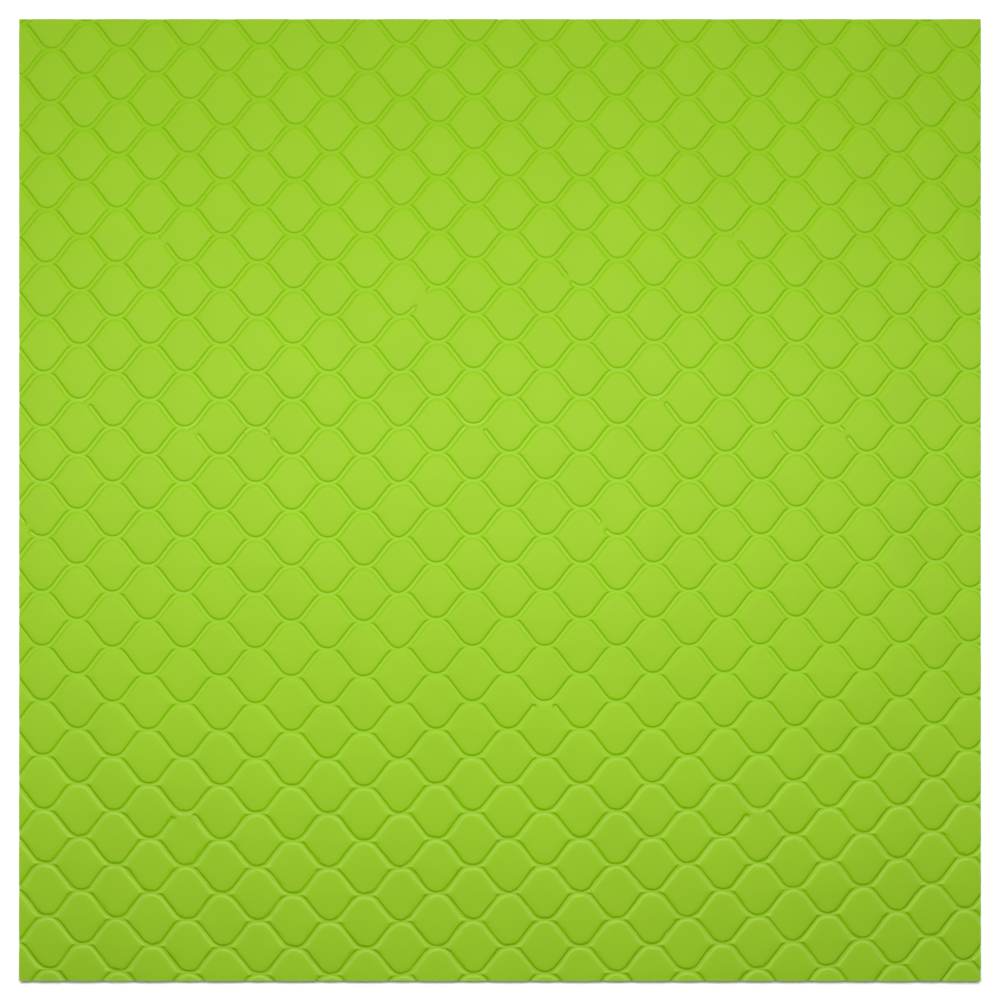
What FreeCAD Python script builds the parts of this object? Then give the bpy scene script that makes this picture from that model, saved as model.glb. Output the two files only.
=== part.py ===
"""Net-embossed soft vinyl sheet: a square cut of roller-embossed face vinyl on foam, carried by a yarn scrim.

Frame: origin at the centre of the underside, +Z up out of the embossed face, +X along the wavy net lines.
All lengths are in millimetres. From the underside up, the bonded layers are back coat, weft yarns, warp yarns,
tie coat, foam layer and face skin.
"""

import FreeCAD
import Part
import Sketcher
import math
import os

# Driving dimensions: alias, value, what it is.
SIZES = [
    ("sheet_width", 200.0, "cut size along X, along the net lines"),
    ("sheet_depth", 200.0, "cut size along Y, across the net lines"),
    ("skin_thickness", 0.50, "compact face vinyl, measured at the pads between the channels"),
    ("foam_thickness", 0.70, "expanded vinyl foam"),
    ("tie_thickness", 0.20, "coat that ties the foam to the scrim, measured between its yarn grooves"),
    ("back_thickness", 0.20, "coat on the underside, measured between its yarn grooves"),
    ("cell_pitch", 14.87, "one wave of a net line, and so the width of one cell"),
    ("line_spacing", 5.65, "from one net line to the next, half the height of one cell"),
    ("flank_angle", 52.5, "slope of a net line's straight stretches, in degrees"),
    ("channel_width", 0.92, "width of the pressed channel that draws each net line"),
    ("channel_depth", 0.30, "depth of that channel below the pads"),
    ("net_offset_x", 1.75, "place of the net crossing nearest the sheet's centre"),
    ("net_offset_y", -1.65, "place of the net crossing nearest the sheet's centre"),
    ("yarn_pitch", 2.82, "nine yarns to the inch, each way"),
    ("yarn_width", 0.90, "1000 denier polyester yarn, pressed flat"),
    ("yarn_thickness", 0.13, "1000 denier polyester yarn, pressed flat"),
    ("yarn_clearance", 0.02, "gap on each side of a yarn in its groove"),
    ("overcut", 1.0, "how far cutting tools run past what they cut"),
]
LAYERS = ["back_thickness", "tie_thickness", "foam_thickness", "skin_thickness"]
ROWS_PER_BAND = 6
FAULTS = ("Invalid", "Error")


def make_sizes(doc):
    """The sheet of driving dimensions."""
    sizes = doc.addObject("Spreadsheet::Sheet", "Sizes")
    for row, (alias, value, meaning) in enumerate(SIZES, start=1):
        sizes.set(f"A{row}", alias)
        sizes.set(f"B{row}", str(value))
        sizes.set(f"C{row}", meaning)
        sizes.setAlias(f"B{row}", alias)
    doc.recompute()
    return sizes


def height_below(layer):
    """The expression for the height of a layer's underside: the layers below it, added up."""
    below = LAYERS[: LAYERS.index(layer)]
    return " + ".join(f"Sizes.{name}" for name in below) or "0"


def origin_plane(body, role):
    return next(f for f in body.Origin.OriginFeatures if f.Role == role)


def rectangle(body, name, width, depth, centre_x="0", centre_y="0", height="0"):
    """A rectangle sketch on the body's XY plane. Sizes and places are expressions."""
    sketch = body.newObject("Sketcher::SketchObject", name)
    sketch.AttachmentSupport = [(origin_plane(body, "XY_Plane"), "")]
    sketch.MapMode = "FlatFace"
    corners = [FreeCAD.Vector(x, y, 0) for x, y in ((-1, -1), (1, -1), (1, 1), (-1, 1))]
    sides = [Part.LineSegment(corners[i], corners[(i + 1) % 4]) for i in range(4)]
    sketch.addGeometry(sides, False)
    for i in range(4):
        sketch.addConstraint(constraint("Coincident", i, 2, (i + 1) % 4, 1))
    for i in range(4):
        sketch.addConstraint(constraint("Horizontal" if i % 2 == 0 else "Vertical", i))
    bound = [
        ("right", constraint("DistanceX", -1, 1, 0, 2, 1.0), f"{centre_x} + ({width}) / 2"),
        ("left", constraint("DistanceX", -1, 1, 0, 1, -1.0), f"{centre_x} - ({width}) / 2"),
        ("back", constraint("DistanceY", -1, 1, 2, 1, 1.0), f"{centre_y} + ({depth}) / 2"),
        ("front", constraint("DistanceY", -1, 1, 0, 1, -1.0), f"{centre_y} - ({depth}) / 2"),
    ]
    for label, rule, expression in bound:
        at = sketch.addConstraint(rule)
        sketch.renameConstraint(at, label)
        sketch.setExpression(f"Constraints.{label}", expression)
    sketch.setExpression(".AttachmentOffset.Base.z", height)
    return sketch


def constraint(*words):
    return Sketcher.Constraint(*words)


def pad(body, name, sketch, length):
    feature = body.newObject("PartDesign::Pad", name)
    feature.Profile = sketch
    feature.setExpression("Length", length)
    return feature


def layer(doc, label, thickness):
    """One bonded layer: a slab of the sheet's cut size, resting on the layers below it."""
    body = doc.addObject("PartDesign::Body", label)
    body.Label = label
    body.setExpression(".Placement.Base.z", height_below(thickness))
    outline = rectangle(body, f"{label}_outline", "Sizes.sheet_width", "Sizes.sheet_depth")
    pad(body, f"{label}_slab", outline, f"Sizes.{thickness}")
    return body


def yarn_row(across):
    """Expressions for a row of parallel yarns that are spaced over the sheet's size named across."""
    count = f"floor((Sizes.{across} - Sizes.yarn_width) / Sizes.yarn_pitch)"
    return f"{count} + 1", f"{count} * Sizes.yarn_pitch", f"-({count} * Sizes.yarn_pitch) / 2"


def repeat(body, name, feature, sketch, axis, across):
    """Repeats one yarn or one groove over the whole sheet."""
    count, span, _ = yarn_row(across)
    row = body.newObject("PartDesign::LinearPattern", name)
    row.Originals = [feature]
    row.Direction = (sketch, [axis])
    row.setExpression("Length", span)
    row.setExpression("Occurrences", count)
    body.Tip = row
    return row


def cut_grooves(body, label, along_y, height, upward):
    """Yarn grooves across a coat. along_y says which way they run, upward which way they are cut."""
    across = "sheet_width" if along_y else "sheet_depth"
    first = yarn_row(across)[2]
    width = "Sizes.yarn_width + 2 * Sizes.yarn_clearance"
    if along_y:
        run = "Sizes.sheet_depth + 2 * Sizes.overcut"
        sketch = rectangle(body, f"{label}_groove_outline", width, run, first, "0", height)
    else:
        run = "Sizes.sheet_width + 2 * Sizes.overcut"
        sketch = rectangle(body, f"{label}_groove_outline", run, width, "0", first, height)
    groove = body.newObject("PartDesign::Pocket", f"{label}_groove")
    groove.Profile = sketch
    groove.Reversed = upward
    groove.setExpression("Length", "Sizes.yarn_thickness")
    repeat(body, f"{label}_grooves", groove, sketch, "H_Axis" if along_y else "V_Axis", across)


def make_yarns(doc, label, along_y, bottom):
    """All the parallel yarns of one direction, as a group of separate solids."""
    body = doc.addObject("PartDesign::Body", label)
    body.Label = label
    body.AllowCompound = True
    body.setExpression(".Placement.Base.z", bottom)
    across = "sheet_width" if along_y else "sheet_depth"
    first = yarn_row(across)[2]
    if along_y:
        sketch = rectangle(body, f"{label}_outline", "Sizes.yarn_width", "Sizes.sheet_depth", first)
    else:
        sketch = rectangle(
            body, f"{label}_outline", "Sizes.sheet_width", "Sizes.yarn_width", "0", first
        )
    yarn = pad(body, f"{label}_yarn", sketch, "Sizes.yarn_thickness")
    repeat(body, f"{label}_row", yarn, sketch, "H_Axis" if along_y else "V_Axis", across)
    return body


def bend_radius(pitch, spacing, angle):
    """The radius of a net line's crests and troughs, which its straight stretches meet at that angle."""
    rise, run = math.sin(angle), math.cos(angle)
    return (rise * pitch / 2 - run * spacing) / (2 * (1 - run))


def pad_outline(pitch, spacing, angle, half_channel):
    """The closed outline of one pad about its own centre: the pitch and spacing cell less half a channel."""
    radius = bend_radius(pitch, spacing, angle)
    outer, inner = radius + half_channel, radius - half_channel
    tip_angle = math.acos(radius / outer)

    def on_tip_arc(turn):
        return pitch / 2 - outer * math.sin(turn), radius - outer * math.cos(turn)

    def on_crest(turn):
        return inner * math.sin(turn), spacing - radius + inner * math.cos(turn)

    tip, tip_middle, tip_end = (
        on_tip_arc(turn) for turn in (tip_angle, (tip_angle + angle) / 2, angle)
    )
    crest_start, crest_top = on_crest(angle), on_crest(0.0)

    def place(point, flip_x, flip_y):
        return FreeCAD.Vector(point[0] * flip_x, point[1] * flip_y, 0)

    edges = []
    for flip_x in (1, -1):
        for flip_y in (1, -1):
            ends = [place(p, flip_x, flip_y) for p in (tip, tip_middle, tip_end, crest_start)]
            edges.append(Part.Arc(*ends[:3]).toShape())
            edges.append(Part.LineSegment(ends[2], ends[3]).toShape())
    for flip_y in (1, -1):
        left, right = place(crest_start, -1, flip_y), place(crest_start, 1, flip_y)
        edges.append(Part.Arc(left, place(crest_top, 1, flip_y), right).toShape())
    return Part.Wire(Part.__sortEdges__(edges))


def pads_of_the_net(sizes, half_width, half_depth):
    """Every pad that comes within the given half sizes, as flat faces on the staggered net."""
    half_pitch, spacing = sizes.cell_pitch / 2, sizes.line_spacing
    angle = math.radians(float(sizes.flank_angle))
    outline = pad_outline(sizes.cell_pitch, spacing, angle, sizes.channel_width / 2)
    columns = math.ceil(half_width / half_pitch) + 2
    rows = math.ceil(half_depth / spacing) + 2
    pads = []
    for column in range(-columns, columns + 1):
        for row in range(-rows, rows + 1):
            x = sizes.net_offset_x + column * half_pitch
            y = sizes.net_offset_y + row * spacing
            is_crossing = (column + row) % 2 == 0
            if is_crossing or abs(x) > half_width + half_pitch or abs(y) > half_depth + spacing:
                continue
            copy = outline.copy()
            copy.translate(FreeCAD.Vector(x, y, 0))
            pads.append(Part.Face(copy))
    return pads


def channel_layout(sizes):
    """The flat shape of all the channels: bands across the sheet and a little past it, less the pads.

    The bands meet edge to edge, and keep each face to a few dozen holes.
    """
    half_width = sizes.sheet_width / 2 + sizes.overcut
    half_depth = sizes.sheet_depth / 2 + sizes.overcut
    pads = pads_of_the_net(sizes, half_width, half_depth)
    bands = math.ceil(2 * half_depth / (ROWS_PER_BAND * sizes.line_spacing))
    band_depth = 2 * half_depth / bands
    channels = []
    for number in range(bands):
        front = -half_depth + number * band_depth
        band = Part.makePlane(2 * half_width, band_depth, FreeCAD.Vector(-half_width, front, 0))
        near = [pad for pad in pads if pad.BoundBox.intersect(band.BoundBox)]
        channels.extend(band.cut(near).Faces)
    return Part.makeCompound(channels)


def make_face_skin(doc, sizes):
    """The face vinyl: a blank of full thickness with the net's channels pressed into its top."""
    blank = doc.addObject("Part::Box", "face_blank")
    blank.setExpression("Length", "Sizes.sheet_width")
    blank.setExpression("Width", "Sizes.sheet_depth")
    blank.setExpression("Height", "Sizes.skin_thickness")
    blank.setExpression(".Placement.Base.x", "-Sizes.sheet_width / 2")
    blank.setExpression(".Placement.Base.y", "-Sizes.sheet_depth / 2")
    blank.setExpression(".Placement.Base.z", height_below("skin_thickness"))
    layout = doc.addObject("Part::Feature", "channel_layout")
    layout.Shape = channel_layout(sizes)
    floor_height = f"{height_below('skin_thickness')} + Sizes.skin_thickness - Sizes.channel_depth"
    layout.setExpression(".Placement.Base.z", floor_height)
    tool = doc.addObject("Part::Extrusion", "channel_tool")
    tool.Base = layout
    tool.DirMode = "Custom"
    tool.Dir = FreeCAD.Vector(0, 0, 1)
    tool.Solid = True
    tool.setExpression("LengthFwd", "Sizes.channel_depth + Sizes.overcut")
    skin = doc.addObject("Part::Cut", "face_skin")
    skin.Label = "face_skin"
    skin.Base = blank
    skin.Tool = tool
    skin.Refine = False
    return skin


def write_parts(doc, nodes):
    """Checks every object, then writes each sub-part to parts/NODE.step."""
    for thing in doc.Objects:
        if any(fault in thing.State for fault in FAULTS):
            raise RuntimeError(f"{thing.Name} failed: {thing.State}")
    os.makedirs("parts", exist_ok=True)
    for node in nodes:
        shape = node.Shape
        if shape.isNull() or not shape.isValid() or not shape.Solids:
            raise RuntimeError(f"{node.Label} has no valid solid")
        shape.exportStep(f"parts/{node.Label}.step")
        print(f"{node.Label}: {len(shape.Solids)} solids, {shape.Volume:.1f} mm3")


def main():
    doc = FreeCAD.newDocument("net_embossed_vinyl_sheet")
    sizes = make_sizes(doc)
    back_coat = layer(doc, "back_coat", "back_thickness")
    cut_grooves(back_coat, "weft", False, "Sizes.back_thickness", upward=False)
    tie_coat = layer(doc, "tie_coat", "tie_thickness")
    cut_grooves(tie_coat, "warp", True, "0", upward=True)
    foam_layer = layer(doc, "foam_layer", "foam_thickness")
    weft_yarns = make_yarns(doc, "weft_yarns", False, "Sizes.back_thickness - Sizes.yarn_thickness")
    warp_yarns = make_yarns(doc, "warp_yarns", True, "Sizes.back_thickness")
    face_skin = make_face_skin(doc, sizes)
    doc.recompute()
    write_parts(doc, [back_coat, weft_yarns, warp_yarns, tie_coat, foam_layer, face_skin])


main()
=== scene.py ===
"""Looks for the net-embossed vinyl sheet: each layer of the laminate is its own detailed piece."""

import math

import bmesh
import bpy
import numpy as np
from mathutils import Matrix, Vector


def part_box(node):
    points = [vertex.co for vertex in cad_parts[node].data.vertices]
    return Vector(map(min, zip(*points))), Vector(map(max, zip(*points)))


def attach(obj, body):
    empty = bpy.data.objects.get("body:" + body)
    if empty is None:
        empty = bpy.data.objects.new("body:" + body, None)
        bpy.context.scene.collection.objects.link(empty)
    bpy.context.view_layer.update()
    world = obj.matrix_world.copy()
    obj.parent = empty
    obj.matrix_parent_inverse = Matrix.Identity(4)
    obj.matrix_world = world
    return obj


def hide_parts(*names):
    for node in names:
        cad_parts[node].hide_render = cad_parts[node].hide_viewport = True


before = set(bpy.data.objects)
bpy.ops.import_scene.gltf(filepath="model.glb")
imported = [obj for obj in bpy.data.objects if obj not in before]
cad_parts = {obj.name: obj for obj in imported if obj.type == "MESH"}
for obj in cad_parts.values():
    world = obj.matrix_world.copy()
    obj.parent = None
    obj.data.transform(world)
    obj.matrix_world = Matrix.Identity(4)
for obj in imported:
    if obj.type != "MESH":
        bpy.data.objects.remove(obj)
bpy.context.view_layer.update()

MM = 0.001  # shapes are worked out in millimetres, and then scaled by this
rng = np.random.default_rng(7)

# ---------------------------------------------------------------- the net, in millimetres
PITCH = 14.87  # from cell to cell across the sheet
ROW = 5.65  # from net line to net line
HALF = PITCH / 2
BETA = math.radians(52.5)  # slope of a net line's flanks
BEND = (math.sin(BETA) * HALF - math.cos(BETA) * ROW) / (2 * (1 - math.cos(BETA)))  # radius of its bends
OX, OY = 1.75, -1.65  # the net's origin, from the sheet's centre
DEPTH = 0.27  # of a channel
DEEPER = 0.03  # added to it towards the front edge
FLOOR_EDGE, WALL_TOP = 0.30, 0.60  # where a channel's wall begins and ends, from the net line
ROLL_START, ROLL_END, ROLL_DROP = 0.40, 1.60, 0.06  # a pad's rounded rim: where it is, and how far it drops
CROWN = 0.09  # a pad's rim lies this much lower than its middle
DENT_X, DENT_Y, DENT_DEPTH = -8.80 * HALF, -11.97 * ROW, 0.07  # a small mark pressed into one pad
EVEN_WAVER, FRONT_WAVER = 0.006, 0.10  # how much a channel's edges waver, and how much more at the front
TOOL_REPEAT = 16  # the embossing tool repeats after this many half pitches
TURNS = range(-2, 3)  # the repeats that can reach the sheet


def layer_z(node):
    """The lowest and highest z of a CAD node, in millimetres."""
    low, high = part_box(node)
    return low.z / MM, high.z / MM


face_low, face_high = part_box("face_skin")
SIDE = (face_high.x - face_low.x) / 2 / MM  # from the sheet's centre to its edge
SKIN_Z = layer_z("face_skin")

# ---------------------------------------------------------------- the yarns, in millimetres
YARN_PITCH, YARN_WIDTH, YARN_THICK = 2.82, 0.90, 0.13
CLEARANCE = 0.02  # at each side of a yarn in its groove
YARN_STEPS = int((2 * SIDE - YARN_WIDTH) / YARN_PITCH)
YARN_PLACES = (np.arange(YARN_STEPS + 1) - YARN_STEPS / 2) * YARN_PITCH
OVAL = 0.7  # power of the sine that makes a yarn's section blunter than an ellipse


# ---------------------------------------------------------------- the shape of the face
def smooth(x, a, b):
    """Rises from 0 at a to 1 at b, and is level at both ends."""
    t = np.clip((x - a) / (b - a), 0, 1)
    return t * t * (3 - 2 * t)


def hash01(x, y):
    """A number from 0 to 1 for each point, scattered but always the same."""
    total = np.sin(x * 12.9898) + np.sin(y * 78.233)
    return np.abs(total * 43758.5453) % 1.0


def line_point(k, u):
    """The point of net line k at u half pitches from the crossing nearest the centre."""
    t = abs(((u - k) + 1) % 2 - 1) * HALF
    flip = t > HALF / 2
    t = HALF - t if flip else t
    edge = BEND * math.sin(BETA)
    if t <= edge:
        y = ROW - BEND + math.sqrt(BEND * BEND - t * t)
    else:
        y = ROW - BEND * (1 - math.cos(BETA)) - (t - edge) * math.tan(BETA)
    y = ROW - y if flip else y
    return np.array([u * HALF, (k - 1) * ROW + y])


# Where the embossing tool is damaged: net line, half pitches along it, half the length left unpressed,
# and how fully.
BREAKS = [
    (10, 6.32, 1.35, 1.0), (4, 4.25, 1.05, 1.0), (3, 7.26, 1.40, 1.0), (3, 9.39, 1.10, 1.0),
    (3, 15.08, 2.30, 1.0), (9, 1.63, 1.05, 1.0), (0, 2.59, 1.30, 1.0), (-11, 6.94, 2.50, 1.0),
    (-7, 1.00, 2.40, 1.0), (8, 13.54, 2.60, 0.55), (14, 9.41, 0.60, 1.0), (12, 7.50, 0.60, 0.8),
    (3, 8.68, 0.50, 0.5), (15, 7.07, 0.35, 0.6), (-6, 8.57, 0.45, 0.5), (-13, 0.09, 0.55, 1.0),
    (-13, 2.20, 0.45, 0.8),
]

# How the rolled net strays from an even one, in millimetres: powers of x and y per 100 mm, and the
# stray along each.
STRAY = [
    (0, 0, 0.156, -0.057), (0, 1, 0.533, 2.252), (0, 2, 0.053, -0.111), (0, 3, -0.523, -1.611),
    (1, 0, 1.487, -0.078), (1, 1, -0.352, -0.394), (1, 2, -1.857, 0.390), (2, 0, -0.590, 0.316),
    (2, 1, -0.051, -1.747), (3, 0, -1.693, 0.011),
]
JOINT_X, JOINT_BLEND = -19.8, 1.5  # a joint of the tool, and how far to each side the net changes over
JOINT_STEP = [(-0.013, -0.674), (-0.018, 0.011), (0.080, 0.442)]  # set-off left of it, times 1, y, y squared


def stray(x, y):
    """How far a point of the even net lies off on the real sheet. x and y are from the sheet's centre."""
    a, b = x / 100, y / 100
    left = 1 - smooth(x, JOINT_X - JOINT_BLEND, JOINT_X + JOINT_BLEND)
    moves = []
    for axis in (0, 1):
        bow = sum(term[2 + axis] * a ** term[0] * b ** term[1] for term in STRAY)
        step = sum(shift[axis] * b**n for n, shift in enumerate(JOINT_STEP))
        moves.append(bow + left * step)
    return moves


def nearest_on_line(x, y, k):
    """Distance to net line k as if it were whole, and the place on it that is nearest."""
    wave = ((x / HALF - k + 1) % 2) - 1
    side, t = np.where(wave < 0, -1.0, 1.0), np.abs(wave) * HALF
    v = y - (k - 1) * ROW
    best = np.full(x.shape, 1e9)
    foot_t, foot_v = np.zeros(x.shape), np.zeros(x.shape)

    def offer(d, ft, fv, ok):
        nonlocal best, foot_t, foot_v
        take = ok & (d < best)
        best = np.where(take, d, best)
        foot_t, foot_v = np.where(take, ft, foot_t), np.where(take, fv, foot_v)

    for ct, cv, up in ((0.0, ROW - BEND, 1.0), (HALF, BEND, -1.0)):
        dt, dv = t - ct, (v - cv)
        r = np.maximum(np.hypot(dt, dv), 1e-9)
        angle = np.abs(np.arctan2(dt, dv * up))
        offer(np.abs(r - BEND), ct + dt / r * BEND, cv + dv / r * BEND, angle <= BETA)
    at, av = BEND * math.sin(BETA), ROW - BEND * (1 - math.cos(BETA))
    bt, bv = HALF - at, ROW - av
    length2 = (bt - at) ** 2 + (bv - av) ** 2
    along = np.clip(((t - at) * (bt - at) + (v - av) * (bv - av)) / length2, 0, 1)
    ft, fv = at + along * (bt - at), av + along * (bv - av)
    offer(np.hypot(t - ft, v - fv), ft, fv, np.ones(x.shape, bool))
    return best, x + (foot_t - t) * side, foot_v + (k - 1) * ROW


def break_ends(k, middle, reach):
    """The two places on net line k that are reach away from its place at middle, found by halving."""
    centre = line_point(k, middle)
    ends = []
    for sign in (-1, 1):
        near, far = 0.0, 3 * (reach / HALF * 0.8)
        for _ in range(30):
            tried = (near + far) / 2
            if np.hypot(*(line_point(k, middle + sign * tried) - centre)) < reach:
                near = tried
            else:
                far = tried
        ends.append(line_point(k, middle + sign * far))
    return ends


def line_distance(x, y, k):
    """Distance to net line k, with its damaged stretches taken out."""
    best, foot_x, foot_y = nearest_on_line(x, y, k)
    for line, u, reach, strength in BREAKS:
        if line != k:
            continue
        for turn in TURNS:
            middle = u + turn * TOOL_REPEAT
            c = line_point(k, middle)
            if abs(c[0]) > SIDE + 5:
                continue
            gone = np.hypot(foot_x - c[0], foot_y - c[1]) < reach
            if not gone.any():
                continue
            to_end = np.minimum(*[np.hypot(x - e[0], y - e[1]) for e in break_ends(k, middle, reach)])
            best = np.where(gone, best + strength * (to_end - best), best)
    return best


def net_distance(x, y):
    """Distance to the nearest of the net lines in a point's own row and the two next to it."""
    row = np.floor(y / ROW).astype(int) + 1
    best = np.full(x.shape, 1e9)
    for k in np.unique(row):
        for near in (k - 1, k, k + 1):
            mask = row == k
            best[mask] = np.minimum(best[mask], line_distance(x[mask], y[mask], near))
    return best


def wavered_distance(x, y):
    """Distance to the net with the channels' edges uneven, more so towards the front edge."""
    waver = FRONT_WAVER * smooth(-y, 30, 75) + EVEN_WAVER
    ripple = np.sin(2.9 * x + 1.3 * np.sin(0.9 * y)) * np.sin(3.3 * y + 1.1 * np.sin(0.7 * x))
    return net_distance(x, y) + waver * (2 * hash01(x, y) - 1 + ripple)


def pad_place(x, y):
    """Place of a point in its pad: from -1 to 1 each way, and 0 at the pad's middle."""
    i0, j0 = np.floor(x / HALF), np.floor(y / ROW)
    best = np.full(x.shape, 1e9)
    middle_i, middle_j = np.zeros(x.shape), np.zeros(x.shape)
    for i, j in ((i0, j0), (i0, j0 + 1), (i0 + 1, j0), (i0 + 1, j0 + 1)):
        d = np.abs(x / HALF - i) + np.abs(y / ROW - j)
        take = ((i + j) % 2 != 0) & (d < best)
        best = np.where(take, d, best)
        middle_i = np.where(take, i, middle_i)
        middle_j = np.where(take, j, middle_j)
    return np.clip(x / HALF - middle_i, -1, 1), np.clip(y / ROW - middle_j, -1, 1)


def face_height(x, y, d):
    """Height of the face above its pads' tops (so never above 0), at the wavered distance d from the net."""
    pressed = 1 - smooth(d, FLOOR_EDGE, WALL_TOP)
    unpressed = 1 - pressed
    roll = 1 - smooth(d, ROLL_START, ROLL_END)
    across, along = pad_place(x, y)
    dome = 0.25 * (1 + np.cos(np.pi * across)) * (1 + np.cos(np.pi * along))
    low_wave = np.sin(x / 23.0 + 1.3) * np.sin(y / 31.0 + 0.4)
    z = -(DEPTH + DEEPER * smooth(-y, 10, 80)) * pressed
    z -= ROLL_DROP * roll * unpressed
    z -= CROWN * (1 - dome) * unpressed * (0.92 + 0.08 * low_wave)
    from_dent = ((x - DENT_X) / 2.0) ** 2 + ((y - DENT_Y) / 1.3) ** 2
    z -= DENT_DEPTH * np.exp(-from_dent) * unpressed
    return z


def painted_shade_and_sheen(x, y, d):
    """Painted shade and painted sheen on the vinyl, each from 0 to 1.

    Painted shade lies on the channels' walls, most of all the far ones, which face away from the light.
    Painted sheen, as painted highlights, lies on the channels' floors, except near the back edge, and on the
    pads' shoulders at the near side of a channel, towards the front edge.
    """
    nudge = 0.05
    rise = (net_distance(x, y + nudge) - net_distance(x, y - nudge)) / (2 * nudge)
    far_side = smooth(rise, -0.3, 0.3)
    front = smooth(-y, 10, 70)
    inner = FLOOR_EDGE - 0.04 - 0.10 * front
    outer = WALL_TOP + 0.06 + 0.06 * front
    wall = smooth(d, inner - 0.10, inner + 0.10) * (1 - smooth(d, outer - 0.14, outer + 0.14))
    # Painted shade on the walls, fullest on the far walls that face away from the light.
    painted_shade = wall * (far_side + (1 - far_side) * (1 - front) * 0.8)
    # Painted sheen: painted highlights on the channels' floors and on the pads' near shoulders.
    painted_floor_sheen = (1 - smooth(d, 0.18, 0.34)) * smooth(-y, -70, -10) * (0.8 - 0.4 * front)
    painted_shoulder_highlight = (1 - far_side) * (1 - smooth(d, 0.45, 0.85)) * front * 0.62
    return painted_shade, np.maximum(painted_floor_sheen, painted_shoulder_highlight)


# ---------------------------------------------------------------- mesh helpers
def add_mesh(name, verts, faces, smooth_faces=True):
    mesh = bpy.data.meshes.new(name)
    mesh.from_pydata([tuple(v) for v in verts], [], [tuple(f) for f in faces])
    mesh.validate()
    if smooth_faces:
        mesh.polygons.foreach_set("use_smooth", [True] * len(mesh.polygons))
    mesh.update()
    obj = bpy.data.objects.new(name, mesh)
    bpy.context.scene.collection.objects.link(obj)
    return obj

# ---------------------------------------------------------------- the mesh of the face
RINGS = (0, 0.29, 0.36, 0.45, 0.54, 0.61, 0.85, 1.30, 1.85)  # distances from the net line of a pad's rings
INNER_RINGS = (0.66, 0.33)  # the rings inside those, as shares of the last
ARC_STEPS, FLANK_STEPS = 4, 3
MARGIN = 6  # cells this far off the sheet are made too, because the stray may draw them in


def quarter(s):
    """A quarter of a pad's outline at distance s from the net line, from its tip to its top."""
    outer, inner = BEND + s, BEND - s
    tip_turns = np.linspace(math.acos(BEND / outer), BETA, ARC_STEPS + 1)
    tip = [(HALF - outer * math.sin(t), BEND - outer * math.cos(t)) for t in tip_turns]
    top_turns = np.linspace(BETA, 0, ARC_STEPS + 1)
    top = [(inner * math.sin(t), ROW - BEND + inner * math.cos(t)) for t in top_turns]
    a, b = np.array(tip[-1]), np.array(top[0])
    flank = [tuple(a + (b - a) * f) for f in np.linspace(0, 1, FLANK_STEPS + 1)[1:-1]]
    return np.array(tip + flank + top)


def outline(s):
    """A pad's whole outline at distance s from the net line."""
    q = quarter(s)
    left = (q * (-1, 1))[::-1][1:]
    upper = np.vstack([q, left])
    lower = (upper * (1, -1))[::-1][1:-1]
    return np.vstack([upper, lower])


def cell_template():
    """One pad with its share of the channels round it: rings of four-sided faces round a middle point."""
    rings = [outline(s) for s in RINGS]
    rings += [rings[-1] * share for share in INNER_RINGS]
    n = len(rings[0])
    verts = np.vstack(rings + [np.zeros((1, 2))])
    faces = []
    for r in range(len(rings) - 1):
        for i in range(n):
            j = (i + 1) % n
            faces.append((r * n + i, r * n + j, (r + 1) * n + j, (r + 1) * n + i))
    last = (len(rings) - 1) * n
    for i in range(0, n, 2):
        faces.append((last + i, last + (i + 1) % n, last + (i + 2) % n, len(verts) - 1))
    return verts, np.array(faces)


def net_cells():
    """The flat net over the whole sheet, cell by cell, with the points that cells share merged."""
    verts, faces = cell_template()
    columns, rows = int((SIDE + 20) / HALF) + 1, int((SIDE + 20) / ROW) + 1
    all_v, all_f, count = [], [], 0
    for i in range(-columns, columns + 1):
        for j in range(-rows, rows + 1):
            cx, cy = i * HALF, j * ROW
            off_sheet = abs(cx + OX) > SIDE + HALF + MARGIN or abs(cy + OY) > SIDE + ROW + MARGIN
            if (i + j) % 2 == 0 or off_sheet:
                continue
            all_v.append(verts + (cx, cy))
            all_f.append(faces + count)
            count += len(verts)
    v, f = np.vstack(all_v), np.vstack(all_f)
    key = np.round(v * 1e4).astype(np.int64)
    _, first, index = np.unique(key, axis=0, return_index=True, return_inverse=True)
    return v[first], index.reshape(-1)[f]


def split_near_breaks(bm):
    """Divides the edges round each damaged stretch, where the face needs more points."""
    marks = []
    for line, u, length, _ in BREAKS:
        for turn in TURNS:
            c = line_point(line, u + turn * TOOL_REPEAT)
            if abs(c[0]) < SIDE + 3 and abs(c[1]) < SIDE + 3:
                marks.append((c[0], c[1], length + 1.0))
    marks = np.array(marks)
    near = []
    for e in bm.edges:
        m = (e.verts[0].co + e.verts[1].co) / 2
        if ((marks[:, 0] - m.x) ** 2 + (marks[:, 1] - m.y) ** 2 < marks[:, 2] ** 2).any():
            near.append(e)
    bmesh.ops.subdivide_edges(bm, edges=near, cuts=2, use_grid_fill=True)
    bm.verts.ensure_lookup_table()


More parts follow.
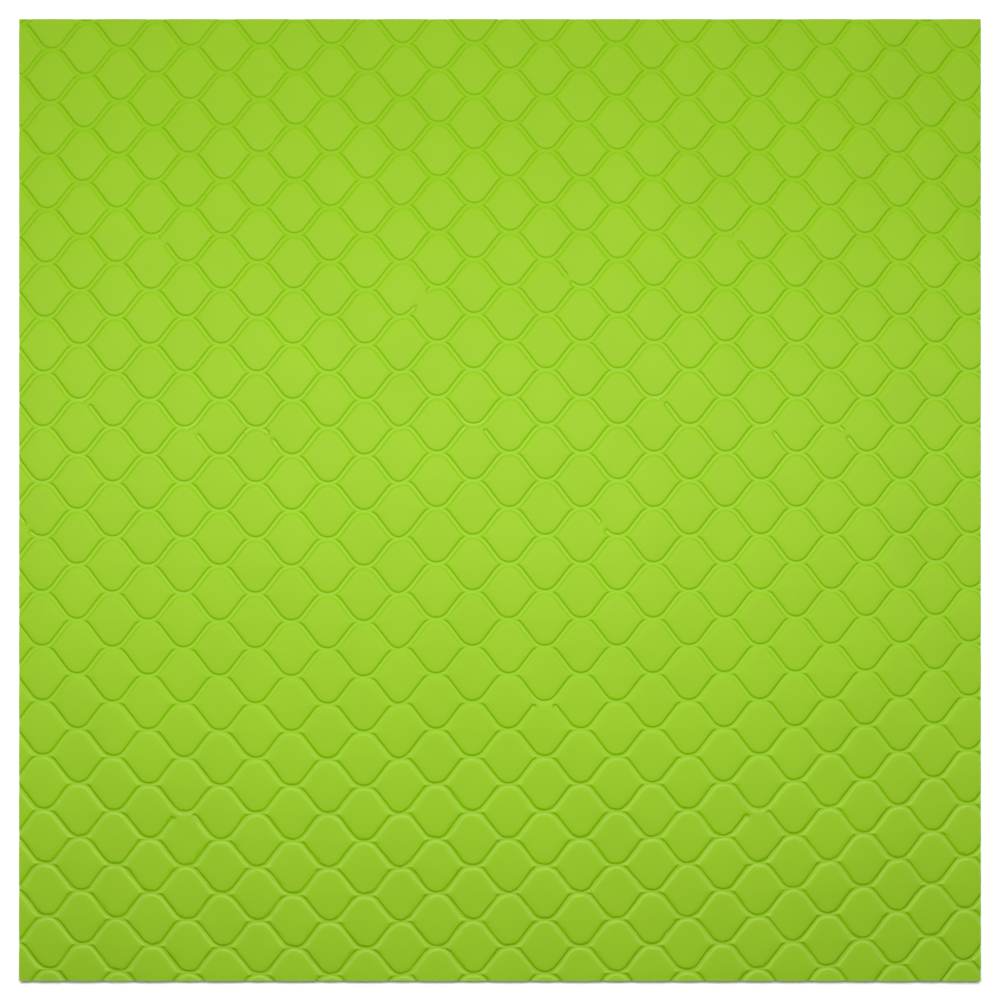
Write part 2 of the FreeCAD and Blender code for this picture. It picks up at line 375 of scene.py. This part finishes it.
def emboss(bm):
    """Moves each point to its place and height, and notes its painted shade and painted sheen."""
    x = np.array([q.co.x for q in bm.verts])
    y = np.array([q.co.y for q in bm.verts])
    d = wavered_distance(x, y)
    z = face_height(x, y, d)
    # Painted shade and painted sheen per point, kept as vertex attributes for the face's colour.
    painted_shade, painted_sheen = painted_shade_and_sheen(x, y, d)
    move_x, move_y = stray(x + OX, y + OY)
    painted_shade_layer = bm.verts.layers.float.new("painted_shade")
    painted_sheen_layer = bm.verts.layers.float.new("painted_sheen")
    places = zip(bm.verts, x + OX + move_x, y + OY + move_y, z + SKIN_Z[1], painted_shade, painted_sheen)
    for q, across, along, height, painted_shade_amount, painted_sheen_amount in places:
        q.co = (across, along, height)
        q[painted_shade_layer] = painted_shade_amount
        q[painted_sheen_layer] = painted_sheen_amount


def trim_square(bm):
    """Cuts off what lies outside the sheet's four edges."""
    for normal in ((1, 0, 0), (-1, 0, 0), (0, 1, 0), (0, -1, 0)):
        bmesh.ops.bisect_plane(
            bm,
            geom=bm.verts[:] + bm.edges[:] + bm.faces[:],
            plane_co=[n * SIDE for n in normal],
            plane_no=normal,
            clear_outer=True,
            dist=1e-5,
        )


def close_below(bm):
    """Adds the cut sides down to the skin's underside, and the underside itself."""
    rim = [e for e in bm.edges if e.is_boundary]
    made = bmesh.ops.extrude_edge_only(bm, edges=rim)["geom"]
    for g in made:
        if isinstance(g, bmesh.types.BMVert):
            g.co.z = SKIN_Z[0]
        elif isinstance(g, bmesh.types.BMFace):
            g.smooth = False
    for e in rim:
        e.smooth = False
    bottom = [e for e in bm.edges if e.is_boundary]
    bmesh.ops.edgeloop_fill(bm, edges=bottom)
    bmesh.ops.recalc_face_normals(bm, faces=bm.faces[:])


def make_face():
    """The embossed face: a net of pads and channels, trimmed square, with sides and an underside."""
    v, f = net_cells()
    obj = add_mesh("embossed_face", np.column_stack([v, np.zeros(len(v))]), f)
    bm = bmesh.new()
    bm.from_mesh(obj.data)
    bmesh.ops.remove_doubles(bm, verts=bm.verts, dist=1e-3)
    split_near_breaks(bm)
    emboss(bm)
    trim_square(bm)
    for side in bm.faces:
        side.smooth = True
        if side.normal.z < 0:
            side.normal_flip()
    close_below(bm)
    for q in bm.verts:
        q.co = q.co * MM
    bm.to_mesh(obj.data)
    bm.free()
    obj.data.update()
    return obj


# ---------------------------------------------------------------- materials
def material(name, colour, roughness, specular):
    mat = bpy.data.materials.new(name)
    mat.use_nodes = True
    shader = mat.node_tree.nodes["Principled BSDF"]
    shader.inputs["Base Color"].default_value = (*colour, 1)
    shader.inputs["Roughness"].default_value = roughness
    shader.inputs["Specular IOR Level"].default_value = specular
    return mat, mat.node_tree, shader


def coords(tree):
    """The object's own coordinates, in metres, so that scales below are per metre."""
    return tree.nodes.new("ShaderNodeTexCoord").outputs["Object"]


def noise(tree, scale, detail=3.0, rough=0.5):
    n = tree.nodes.new("ShaderNodeTexNoise")
    n.inputs["Scale"].default_value = scale
    n.inputs["Detail"].default_value = detail
    n.inputs["Roughness"].default_value = rough
    tree.links.new(coords(tree), n.inputs["Vector"])
    return n.outputs["Fac"]


def ramp_colour(tree, factor, low_colour, high_colour, low_at=0.3, high_at=0.7):
    n = tree.nodes.new("ShaderNodeValToRGB")
    low, high = n.color_ramp.elements
    low.position, high.position = low_at, high_at
    low.color, high.color = (*low_colour, 1), (*high_colour, 1)
    tree.links.new(factor, n.inputs["Fac"])
    return n.outputs["Color"]


def remap(tree, factor, low, high):
    n = tree.nodes.new("ShaderNodeMapRange")
    n.inputs["To Min"].default_value, n.inputs["To Max"].default_value = low, high
    tree.links.new(factor, n.inputs["Value"])
    return n.outputs["Result"]


def bump(tree, height, distance, strength, below=None):
    n = tree.nodes.new("ShaderNodeBump")
    n.inputs["Distance"].default_value = distance
    n.inputs["Strength"].default_value = strength
    tree.links.new(height, n.inputs["Height"])
    if below is not None:
        tree.links.new(below, n.inputs["Normal"])
    return n.outputs["Normal"]


def tint(colour, factor):
    return tuple(min(1.0, c * factor) for c in colour)


def mix_by(tree, attribute, colour, blend, other):
    """Blends a colour into another by a vertex attribute of the mesh."""
    amount = tree.nodes.new("ShaderNodeAttribute")
    amount.attribute_name = attribute
    n = tree.nodes.new("ShaderNodeMix")
    n.data_type = "RGBA"
    n.blend_type = blend
    n.inputs[7].default_value = (*other, 1)
    tree.links.new(amount.outputs["Fac"], n.inputs[0])
    tree.links.new(colour, n.inputs[6])
    return n.outputs[2]


LIME = (0.166, 0.306, 0.0120)
# Painted sheen: blended over the lime as painted highlights on the channels' floors and the pads' shoulders.
PAINTED_SHEEN = (0.196, 0.338, 0.038)
PAINTED_SHADE_TINT = (0.76, 0.95, 0.0)  # painted shade: multiplies the lime on the channels' walls


def face_vinyl():
    mat, tree, shader = material("lime_vinyl", LIME, 0.43, 0.10)
    shader.inputs["Specular Tint"].default_value = (0.72, 0.50, 0.36, 1)
    cloud = noise(tree, 55.0, 4.0, 0.55)
    ground = ramp_colour(tree, cloud, tint(LIME, 0.975), tint(LIME, 1.02))
    # Painted sheen, then painted shade, applied by the two vertex attributes from the face mesh.
    ground = mix_by(tree, "painted_sheen", ground, "MIX", PAINTED_SHEEN)
    ground = mix_by(tree, "painted_shade", ground, "MULTIPLY", PAINTED_SHADE_TINT)
    tree.links.new(ground, shader.inputs["Base Color"])
    tree.links.new(remap(tree, noise(tree, 900.0, 3.0), 0.39, 0.47), shader.inputs["Roughness"])
    grain = bump(tree, noise(tree, 5200.0, 3.0, 0.6), 0.00002, 0.35)
    soft = bump(tree, noise(tree, 420.0, 2.0), 0.00006, 0.25, grain)
    tree.links.new(soft, shader.inputs["Normal"])
    return mat


def bands(tree, direction, pitch_mm):
    n = tree.nodes.new("ShaderNodeTexWave")
    n.bands_direction = direction
    n.inputs["Scale"].default_value = math.pi / 10 / (pitch_mm * MM)  # its bands are pi / 10 apart at scale 1
    tree.links.new(coords(tree), n.inputs["Vector"])
    return n.outputs["Fac"]


def cells(tree, scale):
    n = tree.nodes.new("ShaderNodeTexVoronoi")
    n.inputs["Scale"].default_value = scale
    tree.links.new(coords(tree), n.inputs["Vector"])
    return n.outputs["Distance"]


def foam_finish():
    colour = (0.42, 0.56, 0.13)
    mat, tree, shader = material("pale_green_foam", colour, 0.85, 0.2)
    holes = cells(tree, 4200.0)
    ground = ramp_colour(tree, holes, tint(colour, 0.62), tint(colour, 1.08), 0.05, 0.55)
    tree.links.new(ground, shader.inputs["Base Color"])
    fine = bump(tree, cells(tree, 9000.0), 0.00004, 0.5)
    tree.links.new(bump(tree, holes, 0.00012, 0.9, fine), shader.inputs["Normal"])
    return mat


def coat_finish(name, colour, relief):
    mat, tree, shader = material(name, colour, 0.62, 0.35)
    cloud = noise(tree, 90.0, 4.0)
    ground = ramp_colour(tree, cloud, tint(colour, 0.94), tint(colour, 1.04))
    tree.links.new(ground, shader.inputs["Base Color"])
    tree.links.new(remap(tree, noise(tree, 700.0), 0.54, 0.70), shader.inputs["Roughness"])
    grain = bump(tree, noise(tree, 6000.0, 3.0, 0.6), 0.00003, 0.5)
    if relief:
        grain = bump(tree, bands(tree, "X", YARN_PITCH), 0.00005, -0.5, grain)
    tree.links.new(grain, shader.inputs["Normal"])
    return mat


def yarn_finish(name, direction):
    colour = (0.78, 0.78, 0.74)
    mat, tree, shader = material(name, colour, 0.5, 0.5)
    filaments = bands(tree, direction, 0.045)
    ground = ramp_colour(tree, filaments, tint(colour, 0.72), colour, 0.1, 0.8)
    tree.links.new(ground, shader.inputs["Base Color"])
    tree.links.new(bump(tree, filaments, 0.00002, 0.8), shader.inputs["Normal"])
    return mat


# ---------------------------------------------------------------- the layers under the face
def face_outward(obj, split_ends=False):
    """Turns all faces outward, with the many-sided ends split into triangles first where asked."""
    bm = bmesh.new()
    bm.from_mesh(obj.data)
    if split_ends:
        bmesh.ops.triangulate(bm, faces=[f for f in bm.faces if len(f.verts) > 4])
    bmesh.ops.recalc_face_normals(bm, faces=bm.faces[:])
    bm.to_mesh(obj.data)
    bm.free()
    return obj


def close_prism(name, profile, along_y):
    """A solid with one closed profile from edge to edge. The profile is (across, height) in millimetres."""
    n = len(profile)
    ends = []
    for end in (-SIDE, SIDE):
        for across, height in profile:
            ends.append((across, end, height) if along_y else (end, across, height))
    faces = [[i, (i + 1) % n, n + (i + 1) % n, n + i] for i in range(n)]
    faces += [list(range(n)), list(range(2 * n - 1, n - 1, -1))]
    return face_outward(add_mesh(name, np.array(ends) * MM, faces, smooth_faces=False), split_ends=True)


def groove(place, mouth, bed):
    """Half an oval across one yarn groove, from left to right. Its mouth and bed are heights."""
    half = YARN_WIDTH / 2 + CLEARANCE
    turns = np.linspace(math.pi, 0, 9)
    return [(place + half * math.cos(t), mouth + (bed - mouth) * abs(math.sin(t)) ** OVAL) for t in turns]


def make_back_film():
    """The back coat: yarn grooves on top, and underneath the faint ribs where the yarns show through."""
    z0, z1 = layer_z("back_coat")
    spacing, rib_height, rib_inner, rib_outer = 0.47, 0.014, 0.35, 1.1
    under = []
    for across in np.arange(-SIDE + spacing, SIDE, spacing):
        nearest = np.abs(YARN_PLACES - across).min()
        under.append((across, z0 + rib_height * float(smooth(nearest, rib_inner, rib_outer))))
    top = []
    for place in YARN_PLACES:
        top += groove(place, z1, z1 - YARN_THICK)
    profile = [(-SIDE, z0), *under, (SIDE, z0), (SIDE, z1), *top[::-1], (-SIDE, z1)]
    return close_prism("back_film", profile, False)


def make_tie_film():
    """The tie coat: flat on top, with yarn grooves underneath."""
    z0, z1 = layer_z("tie_coat")
    under = []
    for place in YARN_PLACES:
        under += groove(place, z0, z0 + YARN_THICK)
    return close_prism("tie_film", [(-SIDE, z0), *under, (SIDE, z0), (SIDE, z1), (-SIDE, z1)], True)


def yarn_section(middle, half_thick):
    """A yarn's blunt oval section: (across, height) in millimetres."""
    section = []
    for t in np.linspace(0, 2 * math.pi, 14, endpoint=False):
        rise = math.copysign(abs(math.sin(t)) ** OVAL, math.sin(t))
        section.append((YARN_WIDTH / 2 * math.cos(t), middle + half_thick * rise))
    return section


def make_yarns(name, cad_node, along_y):
    """Flattened multifilament yarns that sway a little, cut flush with the sheet's edge."""
    z0, z1 = layer_z(cad_node)
    section = yarn_section((z0 + z1) / 2, (z1 - z0) / 2)
    sway_width, sway_length = 0.012, 9.0
    n = len(section)
    stations = np.linspace(-SIDE, SIDE, 25)
    verts, faces = [], []
    for place in YARN_PLACES:
        start = len(verts)
        phase = rng.uniform(0, 6.28)
        for s in stations:
            centre = place + sway_width * math.sin(s / sway_length + phase)
            for across, height in section:
                verts.append((centre + across, s, height) if along_y else (s, centre + across, height))
        for k in range(len(stations) - 1):
            a = start + k * n
            faces += [[a + i, a + (i + 1) % n, a + n + (i + 1) % n, a + n + i] for i in range(n)]
        last = start + (len(stations) - 1) * n
        faces += [list(range(start, start + n)), list(range(last + n - 1, last - 1, -1))]
    return face_outward(add_mesh(name, np.array(verts) * MM, faces))


def make_foam():
    """The foam: its cut edges are slightly dished between the two skins and torn by open cells."""
    z0, z1 = layer_z("foam_layer")
    per_side, rows = 260, 6
    dish_depth, tear_depth = 0.05, 0.05
    sides = np.linspace(-1, 1, per_side, endpoint=False)
    ring = [(t, -1.0) for t in sides] + [(1.0, t) for t in sides]
    ring += [(-t, 1.0) for t in sides] + [(-1.0, -t) for t in sides]
    ring = np.array(ring) * SIDE
    n = len(ring)
    verts, faces = [], []
    for r in range(rows):
        f = r / (rows - 1)
        dish = dish_depth * math.sin(math.pi * f)
        tear = rng.uniform(0, tear_depth, n) if 0 < r < rows - 1 else np.zeros(n)
        scale = 1 - (dish + tear) / SIDE
        verts += [(x * k, y * k, z0 + (z1 - z0) * f) for (x, y), k in zip(ring, scale)]
    for r in range(rows - 1):
        a = r * n
        faces += [[a + i, a + (i + 1) % n, a + n + (i + 1) % n, a + n + i] for i in range(n)]
    faces += [list(range(n - 1, -1, -1)), list(range((rows - 1) * n, rows * n))]
    return add_mesh("foam_core", np.array(verts) * MM, faces, smooth_faces=False)


# ---------------------------------------------------------------- build
def dress(obj, mat, cad_node):
    obj.data.materials.append(mat)
    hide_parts(cad_node)
    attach(obj, "root")


face = make_face()
dress(face, face_vinyl(), "face_skin")
foam = make_foam()
dress(foam, foam_finish(), "foam_layer")
tie = make_tie_film()
dress(tie, coat_finish("tie_vinyl", (0.52, 0.60, 0.30), False), "tie_coat")
back = make_back_film()
dress(back, coat_finish("back_vinyl", (0.56, 0.57, 0.53), True), "back_coat")
weft = make_yarns("weft_yarn_set", "weft_yarns", False)
dress(weft, yarn_finish("weft_filament", "Y"), "weft_yarns")
warp = make_yarns("warp_yarn_set", "warp_yarns", True)
dress(warp, yarn_finish("warp_filament", "X"), "warp_yarns")

# ---------------------------------------------------------------- floor, light and camera, in metres
FLOOR_REACH = 3
FLOOR_Z = -0.0002  # just under the sheet, so that the two don't share a plane
WORLD_STRENGTH = 0.26
CAMERA_HEIGHT = 0.5
SENSOR_WIDTH = 36  # in millimetres
SHEET_IN_VIEW = 0.962  # the sheet's share of the picture's width

scene = bpy.context.scene
corners = [(x * FLOOR_REACH, y * FLOOR_REACH, FLOOR_Z) for x, y in ((-1, -1), (1, -1), (1, 1), (-1, 1))]
floor = add_mesh("floor", corners, [(0, 1, 2, 3)], smooth_faces=False)
floor.data.materials.append(material("studio_floor", (0.93, 0.93, 0.93), 0.9, 0.1)[0])

scene.view_settings.view_transform = "Standard"
scene.view_settings.look = "None"
world = bpy.data.worlds.new("studio")
world.use_nodes = True
world.node_tree.nodes["Background"].inputs["Color"].default_value = (1, 1, 1, 1)
world.node_tree.nodes["Background"].inputs["Strength"].default_value = WORLD_STRENGTH
scene.world = world


def area_light(name, place, aim, size, power):
    data = bpy.data.lights.new(name, "AREA")
    data.shape = "RECTANGLE"
    data.size, data.size_y = size
    data.energy = power
    obj = bpy.data.objects.new(name, data)
    obj.location = place
    direction = Vector(aim) - obj.location
    obj.rotation_euler = direction.to_track_quat("-Z", "Y").to_euler()
    scene.collection.objects.link(obj)


# The key is a low strip over the sheet. The rake comes from behind it and shows the channels.
area_light("key", place=(-0.01, 0.025, 0.24), aim=(-0.01, -0.03, 0.0), size=(0.34, 0.08), power=1.10)
area_light("rake", place=(0.0, 1.0, 0.65), aim=(0.0, 0.0, 0.0), size=(0.5, 0.3), power=10.5)

camera_data = bpy.data.cameras.new("camera")
camera = bpy.data.objects.new("camera", camera_data)
scene.collection.objects.link(camera)
camera.location = (0, 0, CAMERA_HEIGHT)
camera_data.sensor_width = SENSOR_WIDTH
camera_data.lens = SENSOR_WIDTH * (CAMERA_HEIGHT - face_high.z) / (2 * SIDE * MM / SHEET_IN_VIEW)
camera_data.clip_start, camera_data.clip_end = 0.01, 50
scene.camera = camera
